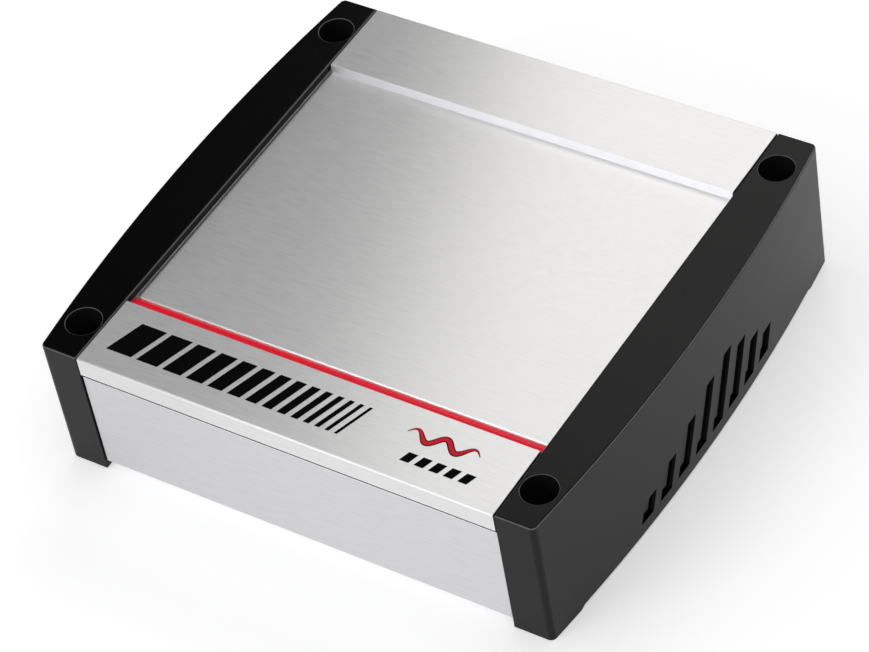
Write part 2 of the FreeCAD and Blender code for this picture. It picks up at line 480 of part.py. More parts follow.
# ---------------------------------------------------------------- fuse holder and fuses
FB_Y0, FB_Y1 = 95.6, 106.2       # fuse body
BL_Y0 = 88.4                     # blade tips
holder = box(*FH)
holder = fillet_where(holder, 0.8, lambda e: len(e.Vertexes) == 2 and e.Vertexes[0].Point.y > FH[3] - 0.01 and e.Vertexes[1].Point.y > FH[3] - 0.01)
clips = []
for z in FUSE_Z:
    holder = holder.cut(box(FUSE_X - 10.2, FUSE_X + 10.2, 95.2, 101.0, z - 3.2, z + 3.2))
    for bx in (-6.8, 6.8):
        holder = holder.cut(box(FUSE_X + bx - 3.2, FUSE_X + bx + 3.2, 84.0, 95.5, z - 1.1, z + 1.1))
        for sg in (-1, 1):
            c0 = sorted((z + sg * 0.5, z + sg * 1.05))
            clips.append(box(FUSE_X + bx - 2.6, FUSE_X + bx + 2.6, 84.05, 93.5, c0[0], c0[1]))
save("fuse_holder", holder)
save("fuse_clips", *clips)
for i, z in enumerate(FUSE_Z):
    fb = box(FUSE_X - 9.5, FUSE_X + 9.5, FB_Y0, FB_Y1, z - 2.55, z + 2.55)
    fb = fillet_where(fb, 0.7, lambda e: True)
    # waist grooves for the puller and the window over the link
    fb = fb.cut(box(FUSE_X - 9.6, FUSE_X - 8.7, FB_Y0 + 5.0, FB_Y0 + 7.4, z - 3, z + 3))
    fb = fb.cut(box(FUSE_X + 8.7, FUSE_X + 9.6, FB_Y0 + 5.0, FB_Y0 + 7.4, z - 3, z + 3))
    for bx in (-6.8, 6.8):
        fb = fb.cut(box(FUSE_X + bx - 2.62, FUSE_X + bx + 2.62, FB_Y0 - 1, FB_Y0 + 7.05, z - 0.34, z + 0.34))
    fb = fb.cut(box(FUSE_X - 4.3, FUSE_X + 4.3, FB_Y0 - 1, FB_Y0 + 6.0, z - 0.34, z + 0.34))
    save("fuse_%d_body" % (i + 1), fb)
    bl = [box(FUSE_X + bx - 2.6, FUSE_X + bx + 2.6, BL_Y0, FB_Y0 + 7.0, z - 0.32, z + 0.32) for bx in (-6.8, 6.8)]
    link = box(FUSE_X - 4.3, FUSE_X + 4.3, FB_Y0 + 2.5, FB_Y0 + 4.0, z - 0.32, z + 0.32)
    save("fuse_%d_blades" % (i + 1), fuse(bl + [link]))

# ---------------------------------------------------------------- phono jacks and remote jack
RCA = [(x, z) for x in (-81.2, -67.3) for z in (23.6, 39.6)]
rb = box(*RC)
rb = fillet_where(rb, 0.8, lambda e: len(e.Vertexes) == 2 and e.Vertexes[0].Point.y > RC[3] - 0.01 and e.Vertexes[1].Point.y > RC[3] - 0.01)
rb = cut(rb, [cyl("y", c, RC[3] - 3.0, RC[3] + 1, 4.2) for c in RCA])
rb = cut(rb, [cyl("y", c, RC[3] - 8.0, RC[3] + 1, 2.65) for c in RCA])
save("phono_jack_body", rb)
shells, ins, pinsock = [], {"white": [], "red": []}, []
for c in RCA:
    s = cyl("y", c, RC[3] - 2.95, RC[3] + 8.6, 4.15).cut(cyl("y", c, RC[3] - 4, RC[3] + 9.6, 3.55))
    s = fillet_where(s, 0.25, lambda e: isinstance(e.Curve, Part.Circle) and e.Vertexes[0].Point.y > RC[3] + 8)
    s = fuse([s, cyl("y", c, RC[3], RC[3] + 1.0, 5.4).cut(cyl("y", c, RC[3] - 1, RC[3] + 2, 4.0))])
    shells.append(s)
    k = "white" if c[0] < -75 else "red"
    f = fuse([cyl("y", c, RC[3] - 7.9, RC[3] + 7.9, 2.6), cyl("y", c, RC[3] - 2.9, RC[3] + 2.2, 3.5)])
    f = f.cut(cyl("y", c, RC[3] - 5.0, RC[3] + 9, 2.0))
    ins[k].append(f)
    q = cyl("y", c, RC[3] - 4.9, RC[3] + 7.0, 1.95).cut(cyl("y", c, RC[3] - 4.0, RC[3] + 8, 1.6))
    pinsock.append(q)
save("phono_shells", *shells)
save("phono_inserts_white", *ins["white"])
save("phono_inserts_red", *ins["red"])
save("phono_centre_contacts", *pinsock)

rj = box(*RJ)
rj = fillet_where(rj, 0.6, lambda e: len(e.Vertexes) == 2 and e.Vertexes[0].Point.y > RJ[3] - 0.01 and e.Vertexes[1].Point.y > RJ[3] - 0.01)
rjx, rjz = (RJ[0] + RJ[1]) / 2, (RJ[4] + RJ[5]) / 2
rj = rj.cut(box(rjx - 5.0, rjx + 5.0, 90.0, 103.0, rjz - 3.6, rjz + 3.6))
rj = rj.cut(box(rjx - 2.0, rjx + 2.0, 90.0, 103.0, rjz - 5.4, rjz - 3.5))
save("remote_jack", rj)
save("remote_jack_contacts", *[box(rjx - 2.1 + 1.27 * i, rjx - 2.1 + 1.27 * i + 0.4, 90.0, 98.0, rjz + 3.0, rjz + 3.6) for i in range(4)])

# ---------------------------------------------------------------- rotary controls
bodies = []
for name, x in KNOB_X.items():
    pot = box(x - 5.0, x + 5.0, CB_Y1, CB_Y1 + 5.5, ROW_Z - 5.5, ROW_Z + 5.5)
    pot = fuse([pot, cyl("y", (x, ROW_Z), CB_Y1 + 5.0, CB_Y1 + 8.5, 3.6)])
    pot = pot.cut(cyl("y", (x, ROW_Z), CB_Y1 + 1.0, CB_Y1 + 9.5, 2.55))
    bodies.append(pot)
    shaft = cyl("y", (x, ROW_Z), CB_Y1 + 1.5, 100.0, 2.5)
    # flat that keys the knob
    shaft = shaft.cut(box(x - 3, x + 3, 93.0, 101.0, ROW_Z + 1.6, ROW_Z + 3.5))
    save(name + "_shaft", shaft)
    knob = cyl("y", (x, ROW_Z), 91.0, 102.0, 4.5)
    knob = fillet_where(knob, 0.5, lambda e: isinstance(e.Curve, Part.Circle) and e.Vertexes[0].Point.y > 101)
    flutes = []
    for i in range(18):
        a = math.radians(20 * i + 10)
        flutes.append(cyl("y", (x + 4.75 * math.cos(a), ROW_Z + 4.75 * math.sin(a)), 94.0, 103.0, 0.45))
    knob = cut(knob, flutes)
    bore = cyl("y", (x, ROW_Z), 90.5, 100.05, 2.53)
    flat = box(x - 3, x + 3, 93.05, 101.0, ROW_Z + 1.63, ROW_Z + 3.5)
    knob = knob.cut(bore.cut(flat))
    # pointer slot across the face
    knob = knob.cut(box(x - 0.45, x + 0.45, 101.3, 103.0, ROW_Z + 0.2, ROW_Z + 4.6))
    save(name + "_knob", knob)
save("pot_bodies", *bodies)

# ---------------------------------------------------------------- slide switches
sb = []
for x, half in ((TURN_ON_X, 8.0), (LEVEL_X, 6.5)):
    b = box(x - half, x + half, CB_Y1, 90.6, ROW_Z - 4.0, ROW_Z + 4.0)
    travel = 5.0 if x == TURN_ON_X else 4.0
    b = b.cut(box(x - travel - 0.4, x + travel + 0.4, 85.0, 91.0, ROW_Z - 2.0, ROW_Z + 2.0))
    b = b.cut(box(x - half + 1.0, x + half - 1.0, 84.0, 88.6, ROW_Z - 3.0, ROW_Z + 3.0))
    sb.append(b)
save("switch_bodies", *sb)
def slider(x):
    foot = box(x - 2.4, x + 2.4, 84.4, 88.2, ROW_Z - 2.6, ROW_Z + 2.6)
    stem = box(x - 1.5, x + 1.5, 88.0, 97.0, ROW_Z - 1.5, ROW_Z + 1.5)
    s = fuse([foot, stem])
    for i in (-1, 0, 1):
        s = s.cut(box(x + 0.9 * i - 0.15, x + 0.9 * i + 0.15, 96.6, 98.0, ROW_Z - 2, ROW_Z + 2))
    return s
# three-way selector rests in the middle; two-way switch rests at its left stop
save("turn_on_slider", slider(TURN_ON_X))
save("input_level_slider", slider(LEVEL_X - 1.6))

# ---------------------------------------------------------------- lamps
for name, x in LED_X.items():
    d = fuse([cyl("y", (x, ROW_Z), 87.0, 93.6, 1.5), Part.makeSphere(1.5, V(x, 93.6, ROW_Z)),
              cyl("y", (x, ROW_Z), 86.0, 87.2, 1.9)])
    leads = [box(x + dx - 0.25, x + dx + 0.25, CB_Y1, 86.1, ROW_Z - 0.25, ROW_Z + 0.25) for dx in (-1.0, 1.0)]
    save(name + "_lamp", fuse([d] + leads))
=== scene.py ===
import json
import math
import random

import bmesh
import bpy
from mathutils import Matrix, Quaternion, Vector


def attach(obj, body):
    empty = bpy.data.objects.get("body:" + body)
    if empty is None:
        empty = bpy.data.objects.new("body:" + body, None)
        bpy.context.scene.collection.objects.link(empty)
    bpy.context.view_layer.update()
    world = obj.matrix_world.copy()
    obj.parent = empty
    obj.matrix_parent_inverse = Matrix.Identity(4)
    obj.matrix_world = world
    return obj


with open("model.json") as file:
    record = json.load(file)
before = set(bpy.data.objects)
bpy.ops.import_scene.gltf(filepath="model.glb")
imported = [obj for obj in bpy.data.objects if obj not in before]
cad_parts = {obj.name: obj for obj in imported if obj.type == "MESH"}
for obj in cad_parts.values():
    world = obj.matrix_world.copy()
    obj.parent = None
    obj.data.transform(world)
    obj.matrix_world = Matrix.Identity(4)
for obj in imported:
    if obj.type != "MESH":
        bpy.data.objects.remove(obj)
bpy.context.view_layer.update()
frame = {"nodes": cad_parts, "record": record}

NODES = frame["nodes"]
BASE = "chassis"
MM = 0.001
random.seed(7)

scene = bpy.context.scene
coll = scene.collection

# ------------------------------------------------------------------ camera
cam_data = bpy.data.cameras.new("view_camera")
cam_data.lens_unit = "MILLIMETERS"
cam_data.sensor_fit = "HORIZONTAL"
cam_data.sensor_width = 36.0
cam_data.lens = 151.68
cam_data.clip_start = 0.05
cam_data.clip_end = 30.0
cam = bpy.data.objects.new("view_camera", cam_data)
coll.objects.link(cam)
AZ, EL, ROLL = math.radians(39.57), math.radians(45.24), math.radians(11.06)
back = Vector((math.sin(AZ) * math.cos(EL), -math.cos(AZ) * math.cos(EL), math.sin(EL)))
right0 = Vector((math.cos(AZ), math.sin(AZ), 0.0))
up0 = back.cross(right0)
right = right0 * math.cos(ROLL) - up0 * math.sin(ROLL)
up = up0 * math.cos(ROLL) + right0 * math.sin(ROLL)
cam.matrix_world = Matrix((
    (right.x, up.x, back.x, 0.63768), (right.y, up.y, back.y, -0.77902),
    (right.z, up.z, back.z, 1.03336), (0, 0, 0, 1)))
scene.camera = cam

# ------------------------------------------------------------------ light
WORLD_MID, WORLD_TOP = 0.16, 0.10
KEY_X, KEY_Y, KEY_W, KEY_D, KEY_L, KEY_TURN = -0.19, 1.55, 1.6, 1.3, 2.1, 19.0
FILL_L = 0.57
FLOOR_GLOW = 0.44
FRONT_L = 13.0
# base colour of the painted highlight on the caps' rounded upper edges
EDGE_HIGHLIGHT = 0.15
scene.view_settings.view_transform = "Standard"
scene.view_settings.look = "None"
scene.view_settings.exposure = 0.0
scene.view_settings.gamma = 1.0

# studio room: bright near the horizon, dim above, so that the caps stay dark on top
world = bpy.data.worlds.new("studio")
scene.world = world
world.use_nodes = True
wn, wl = world.node_tree.nodes, world.node_tree.links
wn.clear()
w_out = wn.new("ShaderNodeOutputWorld")
w_bg = wn.new("ShaderNodeBackground")
w_tc = wn.new("ShaderNodeTexCoord")
w_sep = wn.new("ShaderNodeSeparateXYZ")
w_ramp = wn.new("ShaderNodeValToRGB")
w_ramp.color_ramp.interpolation = "B_SPLINE"
for i, (pos, v) in enumerate([(0.0, 0.9), (0.12, 0.75), (0.34, WORLD_MID), (1.0, WORLD_TOP)]):
    e = w_ramp.color_ramp.elements
    if i > 1:
        e.new(pos)
    e[i].position = pos
    e[i].color = (v, v, v * 1.01, 1.0)
wl.new(w_tc.outputs["Generated"], w_sep.inputs[0])
wl.new(w_sep.outputs["Z"], w_ramp.inputs["Fac"])
wl.new(w_ramp.outputs["Color"], w_bg.inputs["Color"])
w_bg.inputs["Strength"].default_value = 1.0
wl.new(w_bg.outputs["Background"], w_out.inputs["Surface"])


def area(name, loc, target, size_x, size_y, radiance, color=(1, 1, 1), turn=0.0):
    d = bpy.data.lights.new(name, "AREA")
    d.shape = "RECTANGLE"
    d.size, d.size_y = size_x, size_y
    d.energy = radiance * math.pi * size_x * size_y
    d.color = color
    o = bpy.data.objects.new(name, d)
    coll.objects.link(o)
    o.location = loc
    q = (Vector(target) - Vector(loc)).to_track_quat("-Z", "Y")
    o.rotation_euler = (q @ Quaternion((0, 0, 1), math.radians(turn))).to_euler()
    return o


# the key softbox's left edge makes the soft tone change across the cover
area("key_box", (KEY_X, KEY_Y, 1.35), (KEY_X, KEY_Y, 0.0), KEY_W, KEY_D, KEY_L, (1.0, 0.985, 0.965), turn=KEY_TURN)
area("overhead_fill", (-0.25, -0.42, 1.35), (-0.25, -0.42, 0.0), 2.9, 1.75, FILL_L, (0.985, 0.99, 1.0))

# narrow front box: lights the steep wall behind the recess and the broken edges in front
area("front_box", (-0.56, -1.32, 1.0), (0.0, 0.0, 0.05), 0.70, 0.13, FRONT_L, (0.99, 0.99, 1.0))

# ------------------------------------------------------------------ floor
bm = bmesh.new()
bmesh.ops.create_grid(bm, x_segments=2, y_segments=2, size=6.0)
me = bpy.data.meshes.new("studio_floor")
bm.to_mesh(me)
bm.free()
floor = bpy.data.objects.new("studio_floor", me)
coll.objects.link(floor)
floor.location = (0, 0, -0.0002)


# ------------------------------------------------------------------ materials
class Mat:
    def __init__(self, name):
        self.m = bpy.data.materials.new(name)
        self.m.use_nodes = True
        self.n = self.m.node_tree.nodes
        self.l = self.m.node_tree.links
        self.n.clear()
        self.out = self.n.new("ShaderNodeOutputMaterial")
        self.p = self.n.new("ShaderNodeBsdfPrincipled")
        self.l.new(self.p.outputs["BSDF"], self.out.inputs["Surface"])
        self.geo = self.n.new("ShaderNodeNewGeometry")
        self.tex = self.n.new("ShaderNodeTexCoord")

    def set(self, **kw):
        for k, v in kw.items():
            self.p.inputs[k.replace("_", " ")].default_value = v
        return self

    def link(self, a, b):
        self.l.new(a, b)

    def mapping(self, scale=(1, 1, 1), src=None, rot=(0, 0, 0), loc=(0, 0, 0)):
        mp = self.n.new("ShaderNodeMapping")
        mp.inputs["Scale"].default_value = scale
        mp.inputs["Rotation"].default_value = rot
        mp.inputs["Location"].default_value = loc
        self.link(src if src is not None else self.tex.outputs["Object"], mp.inputs["Vector"])
        return mp.outputs["Vector"]

    def noise(self, scale=5.0, detail=3.0, rough=0.5, vec=None, dist=0.0):
        t = self.n.new("ShaderNodeTexNoise")
        t.inputs["Scale"].default_value = scale
        t.inputs["Detail"].default_value = detail
        t.inputs["Roughness"].default_value = rough
        t.inputs["Distortion"].default_value = dist
        self.link(vec if vec is not None else self.tex.outputs["Object"], t.inputs["Vector"])
        return t.outputs["Fac"]

    def voronoi(self, scale=50.0, vec=None, feature="F1"):
        t = self.n.new("ShaderNodeTexVoronoi")
        t.feature = feature
        t.inputs["Scale"].default_value = scale
        self.link(vec if vec is not None else self.tex.outputs["Object"], t.inputs["Vector"])
        return t.outputs["Distance"]

    def ramp(self, fac, stops):
        r = self.n.new("ShaderNodeValToRGB")
        e = r.color_ramp.elements
        while len(e) < len(stops):
            e.new(0.5)
        for i, (p, c) in enumerate(stops):
            e[i].position = p
            e[i].color = (c[0], c[1], c[2], 1.0) if isinstance(c, (tuple, list)) else (c, c, c, 1.0)
        self.link(fac, r.inputs["Fac"])
        return r.outputs["Color"]

    def rng(self, fac, lo, hi, f0=0.0, f1=1.0, clamp=True):
        r = self.n.new("ShaderNodeMapRange")
        r.clamp = clamp
        r.inputs["From Min"].default_value = f0
        r.inputs["From Max"].default_value = f1
        r.inputs["To Min"].default_value = lo
        r.inputs["To Max"].default_value = hi
        self.link(fac, r.inputs["Value"])
        return r.outputs["Result"]

    def math(self, op, a, b=None, c=None):
        t = self.n.new("ShaderNodeMath")
        t.operation = op
        for i, v in enumerate((a, b, c)):
            if v is None:
                continue
            if isinstance(v, (int, float)):
                t.inputs[i].default_value = v
            else:
                self.link(v, t.inputs[i])
        return t.outputs[0]

    def mix(self, fac, a, b, blend="MIX"):
        t = self.n.new("ShaderNodeMix")
        t.data_type = "RGBA"
        t.blend_type = blend
        for sock, v in (("Factor", fac), ("A", a), ("B", b)):
            i = {"Factor": 0, "A": 6, "B": 7}[sock]
            if isinstance(v, (int, float)):
                t.inputs[i].default_value = v if i == 0 else (v, v, v, 1)
            elif isinstance(v, (tuple, list)):
                t.inputs[i].default_value = (v[0], v[1], v[2], 1)
            else:
                self.link(v, t.inputs[i])
        return t.outputs[2]

    def bump(self, height, dist, strength=1.0, normal=None):
        b = self.n.new("ShaderNodeBump")
        b.inputs["Strength"].default_value = strength
        b.inputs["Distance"].default_value = dist
        self.link(height, b.inputs["Height"])
        if normal is not None:
            self.link(normal, b.inputs["Normal"])
        self.link(b.outputs["Normal"], self.p.inputs["Normal"])
        return b.outputs["Normal"]


def brushed_aluminium(name, base=(0.86, 0.86, 0.855), rough=0.35, step=None, painted_joint_z=None):
    m = Mat(name)
    m.set(Metallic=1.0, Anisotropic=0.98)
    # short fine scratches along X
    fine = m.noise(1.0, 3.0, 0.6, m.mapping((90.0, 3400.0, 3400.0)))
    mid = m.noise(1.0, 2.0, 0.5, m.mapping((140.0, 1900.0, 1900.0)))
    cloud = m.noise(1.0, 2.0, 0.5, m.mapping((2.5, 22.0, 22.0)))
    grain = m.math("ADD", m.math("MULTIPLY", fine, 0.65), m.math("MULTIPLY", mid, 0.35))
    tone = m.math("ADD", m.math("MULTIPLY", grain, 0.92), m.math("MULTIPLY", cloud, 0.08))
    col = m.ramp(tone, [(0.36, tuple(c * 0.90 for c in base)), (0.52, tuple(c * 0.975 for c in base)), (0.66, tuple(min(1.0, c * 1.02) for c in base))])
    ro = m.rng(grain, rough - 0.06, rough + 0.05, 0.3, 0.7)
    if step is not None:
        # the steep walls beside the recess get a lighter base colour: a painted reflection of the bright stripe they
        # show
        nrm = m.n.new("ShaderNodeSeparateXYZ")
        m.link(m.geo.outputs["True Normal"], nrm.inputs[0])
        k = m.math("MULTIPLY", m.math("GREATER_THAN", m.math("ABSOLUTE", nrm.outputs["Y"]), 0.5),
                   m.math("MULTIPLY", m.math("GREATER_THAN", nrm.outputs["Z"], 0.2), m.math("LESS_THAN", nrm.outputs["Z"], 0.6)))
        col = m.mix(k, col, step)
    if painted_joint_z is not None:
        # above this height the top edge of the walls lies in the joint under the lip: its top face is painted dark as
        # painted shade under the lip, and its rounded edge is painted bright as a painted highlight
        jn = m.n.new("ShaderNodeSeparateXYZ")
        m.link(m.geo.outputs["True Normal"], jn.inputs[0])
        jp = m.n.new("ShaderNodeSeparateXYZ")
        m.link(m.tex.outputs["Object"], jp.inputs[0])
        hi = m.math("GREATER_THAN", jp.outputs["Z"], painted_joint_z)
        # painted highlight on the rounded edge in the joint
        col = m.mix(m.math("MULTIPLY", hi, m.math("GREATER_THAN", jn.outputs["Z"], 0.20)), col, (0.97, 0.97, 0.98))
        # painted shade on the top face under the lip
        col = m.mix(m.math("MULTIPLY", hi, m.math("GREATER_THAN", jn.outputs["Z"], 0.70)), col, (0.02, 0.02, 0.02))
    m.link(col, m.p.inputs["Base Color"])
    m.link(ro, m.p.inputs["Roughness"])
    # rougher across the scratches than along them
    cr = m.n.new("ShaderNodeVectorMath")
    cr.operation = "CROSS_PRODUCT"
    m.link(m.geo.outputs["True Normal"], cr.inputs[0])
    cr.inputs[1].default_value = (1.0, 0.0, 0.0)
    m.link(cr.outputs["Vector"], m.p.inputs["Tangent"])
    m.bump(grain, 0.00003, 0.55)
    return m.m


def satin_black(name, base=(0.0010, 0.0010, 0.0009), rough=0.17, sunk=None):
    m = Mat(name)
    m.set(IOR=1.34, Specular_IOR_Level=0.20)
    pores = m.noise(1500.0, 2.0, 0.5)
    soft = m.noise(260.0, 3.0, 0.5)
    cloud = m.noise(14.0, 2.0, 0.5)
    col = m.ramp(cloud, [(0.3, tuple(c * 0.85 for c in base)), (0.7, tuple(c * 1.2 for c in base))])
    r = m.math("ADD", m.math("MULTIPLY", pores, 0.5), m.math("MULTIPLY", soft, 0.5))
    ro = m.rng(r, rough - 0.02, rough + 0.03, 0.3, 0.7)
    hgt = r
    # the rounded upper edges get a lighter base colour: a painted highlight
    en = m.n.new("ShaderNodeSeparateXYZ")
    m.link(m.geo.outputs["True Normal"], en.inputs[0])
    # upright faces get a lighter base colour than the top: painted light, so the sides read grey where the top stays
    # black
    col = m.mix(m.math("LESS_THAN", m.math("ABSOLUTE", en.outputs["Z"]), 0.40), col, (0.014, 0.014, 0.0145))
    edge_highlight_mask = m.math("MULTIPLY", m.math("GREATER_THAN", en.outputs["Z"], 0.40), m.math("LESS_THAN", en.outputs["Z"], 0.92))
    col = m.mix(edge_highlight_mask, col, (EDGE_HIGHLIGHT, EDGE_HIGHLIGHT, EDGE_HIGHLIGHT * 1.02))
    if sunk is not None:
        # the floors of the sunk bars in the bowed side are polished
        sep = m.n.new("ShaderNodeSeparateXYZ")
        m.link(m.tex.outputs["Object"], sep.inputs[0])
        nrm = m.n.new("ShaderNodeSeparateXYZ")
        m.link(m.geo.outputs["True Normal"], nrm.inputs[0])
        cx, r0 = sunk
        dx = m.math("SUBTRACT", m.math("ABSOLUTE", sep.outputs["X"]), cx)
        rad = m.math("SQRT", m.math("ADD", m.math("MULTIPLY", dx, dx), m.math("MULTIPLY", sep.outputs["Y"], sep.outputs["Y"])))
        k = m.math("MULTIPLY", m.math("LESS_THAN", rad, r0 + 0.0004), m.math("GREATER_THAN", rad, r0 - 0.0004))
        k = m.math("MULTIPLY", k, m.math("GREATER_THAN", m.math("ABSOLUTE", nrm.outputs["X"]), 0.85))
        ro = m.mix(k, ro, 0.07)
        col = m.mix(k, col, (0.0015, 0.0015, 0.0018))
        hgt = m.math("MULTIPLY", r, m.math("SUBTRACT", 1.0, m.math("MULTIPLY", k, 0.9)))
    m.link(col, m.p.inputs["Base Color"])
    m.link(ro, m.p.inputs["Roughness"])
    m.bump(hgt, 0.00001, 0.25)
    return m.m


def plain(name, base, rough, metallic=0.0, scale=400.0, var=0.08, bump=0.00002, **kw):
    m = Mat(name)
    m.set(Metallic=metallic, **kw)
    n1 = m.noise(scale, 3.0, 0.55)
    n2 = m.noise(scale * 0.08, 2.0, 0.5)
    t = m.math("ADD", m.math("MULTIPLY", n1, 0.5), m.math("MULTIPLY", n2, 0.5))
    m.link(m.ramp(t, [(0.3, tuple(c * (1 - var) for c in base)), (0.7, tuple(min(1, c * (1 + var)) for c in base))]), m.p.inputs["Base Color"])
    m.link(m.rng(t, rough * 0.85, rough * 1.15, 0.3, 0.7), m.p.inputs["Roughness"])
    if bump:
        m.bump(n1, bump, 0.5)
    return m.m


M = {}
# step: colour of the painted reflection on the steep recess walls
M["brushed_aluminium"] = brushed_aluminium("brushed_aluminium_x", step=(0.97, 0.97, 1.0))
# darker copy of the brushed aluminium: painted shade that makes the lower chassis read darker than the cover; it also
# carries the painted shade and highlight at the joint under the lip
M["brushed_lower"] = brushed_aluminium("brushed_aluminium_lower", base=(0.755, 0.755, 0.77), rough=0.38, painted_joint_z=0.0510)
M["black_moulding"] = satin_black("satin_black_moulding", sunk=(-0.74157, 0.85657))
# the red trim glows faintly through a slight emission: painted light
M["red_trim"] = plain("gloss_red_trim", (0.86, 0.004, 0.022), 0.20, scale=300, var=0.03, bump=0.0, IOR=1.42,
                      Specular_IOR_Level=0.35, Emission_Color=(1.0, 0.006, 0.03, 1.0), Emission_Strength=0.15)
M["zinc_steel"] = plain("zinc_plated_steel", (0.60, 0.60, 0.57), 0.34, 1.0, scale=160, var=0.12)
M["black_steel"] = plain("powder_coat_black", (0.022, 0.022, 0.024), 0.42, scale=900, var=0.10, bump=0.00008)
M["black_oxide_steel"] = plain("black_oxide", (0.045, 0.045, 0.05), 0.35, 0.7, scale=300, var=0.15)
M["circuit_board"] = plain("solder_mask_green", (0.012, 0.10, 0.045), 0.25, scale=120, var=0.2)
M["terminal_plastic"] = plain("terminal_plastic", (0.028, 0.028, 0.03), 0.40, scale=700, var=0.10)
M["nickel_brass"] = plain("nickel_plate", (0.76, 0.74, 0.69), 0.22, 1.0, scale=200, var=0.06)
M["gold_brass"] = plain("gold_plate", (0.95, 0.70, 0.28), 0.2, 1.0, scale=200, var=0.06)
M["copper_winding"] = plain("enamelled_copper", (0.62, 0.20, 0.07), 0.25, 0.8, scale=200, var=0.12)
M["ferrite"] = plain("ferrite_grey", (0.06, 0.06, 0.065), 0.6, scale=500, var=0.15)
M["capacitor_sleeve"] = plain("capacitor_sleeve", (0.02, 0.025, 0.07), 0.22, scale=200, var=0.1)
M["black_epoxy"] = plain("black_epoxy", (0.03, 0.03, 0.03), 0.5, scale=900, var=0.12)
M["silicone_pad"] = plain("silicone_pad", (0.62, 0.58, 0.52), 0.6, scale=500, var=0.06)
M["fuse_green"] = plain("fuse_green", (0.02, 0.42, 0.14), 0.18, scale=150, var=0.08, bump=0.0, Transmission_Weight=0.25)
M["white_plastic"] = plain("white_plastic", (0.80, 0.80, 0.77), 0.3, scale=400, var=0.03)
M["red_plastic"] = plain("red_plastic", (0.60, 0.02, 0.02), 0.3, scale=400, var=0.05)
M["knob_plastic"] = plain("knob_plastic", (0.035, 0.035, 0.036), 0.42, scale=800, var=0.1)
M["green_lens"] = plain("green_lens", (0.05, 0.55, 0.12), 0.2, scale=200, var=0.05, bump=0.0, Transmission_Weight=0.3)
M["red_lens"] = plain("red_lens", (0.70, 0.03, 0.02), 0.2, scale=200, var=0.05, bump=0.0, Transmission_Weight=0.3)



def winding(name, cx, cy, turns, base):
    """Enamelled wire laid side by side round a ring: the turns follow the angle."""
    m = Mat(name)
    m.set(Metallic=0.75, Coat_Weight=0.5, Coat_Roughness=0.08)
    sep = m.n.new("ShaderNodeSeparateXYZ")
    m.link(m.tex.outputs["Object"], sep.inputs[0])
    ang = m.math("ARCTAN2", m.math("SUBTRACT", sep.outputs["Y"], cy), m.math("SUBTRACT", sep.outputs["X"], cx))
    wob = m.math("MULTIPLY", m.noise(220.0, 2.0), 0.018)
    w = m.math("SINE", m.math("MULTIPLY", m.math("ADD", ang, wob), float(turns)))
    rnd = m.math("SQRT", m.math("ABSOLUTE", m.math("SUBTRACT", 1.0, m.math("MULTIPLY", w, w))))
    h = m.rng(rnd, 0.0, 1.0, 0.0, 0.9)
    # the base colour darkens in the grooves between turns and lightens on their crowns: painted shade and painted
    # highlight along the wire profile
    m.link(m.ramp(h, [(0.0, tuple(c * 0.25 for c in base)), (0.55, base), (1.0, tuple(min(1, c * 1.15) for c in base))]), m.p.inputs["Base Color"])
    m.link(m.rng(m.noise(90.0, 2.0), 0.2, 0.34, 0.3, 0.7), m.p.inputs["Roughness"])
    m.bump(h, 0.0005, 1.0)
    return m.m


slot_of = {s["node"]: s["material_slot"] for s in frame["record"]["subparts"]}
for name, ob in NODES.items():
    mat = M[slot_of[name]]
    if not ob.data.materials:
        ob.data.materials.append(mat)
    if name == "lower_chassis":
        mat = M["brushed_lower"]
    elif name == "power_transformer_winding":
        mat = winding("transformer_wire", 0.050, 0.018, 64, (0.66, 0.20, 0.06))
    elif name == "output_choke_winding":
        mat = winding("choke_wire", -0.052, -0.020, 44, (0.72, 0.27, 0.09))
    for i in range(len(ob.material_slots)):
        ob.material_slots[i].material = mat

fm = Mat("floor_white")
fm.set(Roughness=0.9)
fm.p.inputs["Specular IOR Level"].default_value = 0.1
fm.link(fm.ramp(fm.noise(3.0, 2.0), [(0.3, (0.965, 0.965, 0.97)), (0.7, (0.975, 0.975, 0.975))]), fm.p.inputs["Base Color"])
fm.set(Emission_Color=(1.0, 1.0, 1.0, 1.0), Emission_Strength=FLOOR_GLOW)
floor.data.materials.append(fm.m)

M["print_black"] = plain("print_black", (0.0012, 0.0012, 0.0015), 0.55, scale=700, var=0.15, Specular_IOR_Level=0.03)
M["print_red"] = plain("print_red", (0.80, 0.008, 0.026), 0.42, scale=700, var=0.06, Specular_IOR_Level=0.15)


# ------------------------------------------------------------------ printed marks on the front strip
TOP = 0.062


def plate(name, outlines, z, t, mat, body=BASE):
    """Thin printed film: closed outlines (x, y in mm) standing t above z."""
    b = bmesh.new()
    for pts in outlines:
        lo = [b.verts.new((x * MM, y * MM, z)) for x, y in pts]
        hi = [b.verts.new((x * MM, y * MM, z + t)) for x, y in pts]
        n = len(pts)
        b.faces.new(hi)
        b.faces.new(list(reversed(lo)))
        for i in range(n):
            b.faces.new((lo[i], lo[(i + 1) % n], hi[(i + 1) % n], hi[i]))
    bmesh.ops.recalc_face_normals(b, faces=b.faces)
    mesh = bpy.data.meshes.new(name)
    b.to_mesh(mesh)
    b.free()
    o = bpy.data.objects.new(name, mesh)
    coll.objects.link(o)
    mesh.materials.append(mat)
    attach(o, body)
    return o


bars = []
x, y0, y1, lean = -85.0, -98.2, -81.8, 5.6
widths = [11.5, 9.6, 8.4, 7.4, 6.5, 5.7, 5.0, 4.3, 3.7, 3.1, 2.6, 2.1, 1.7, 1.3]
for i, w in enumerate(widths):
    bars.append([(x, y0), (x + w, y0), (x + w + lean, y1), (x + lean, y1)])
    x += w + 2.45
plate("front_strip_bars", bars, TOP, 0.00006, M["print_black"])



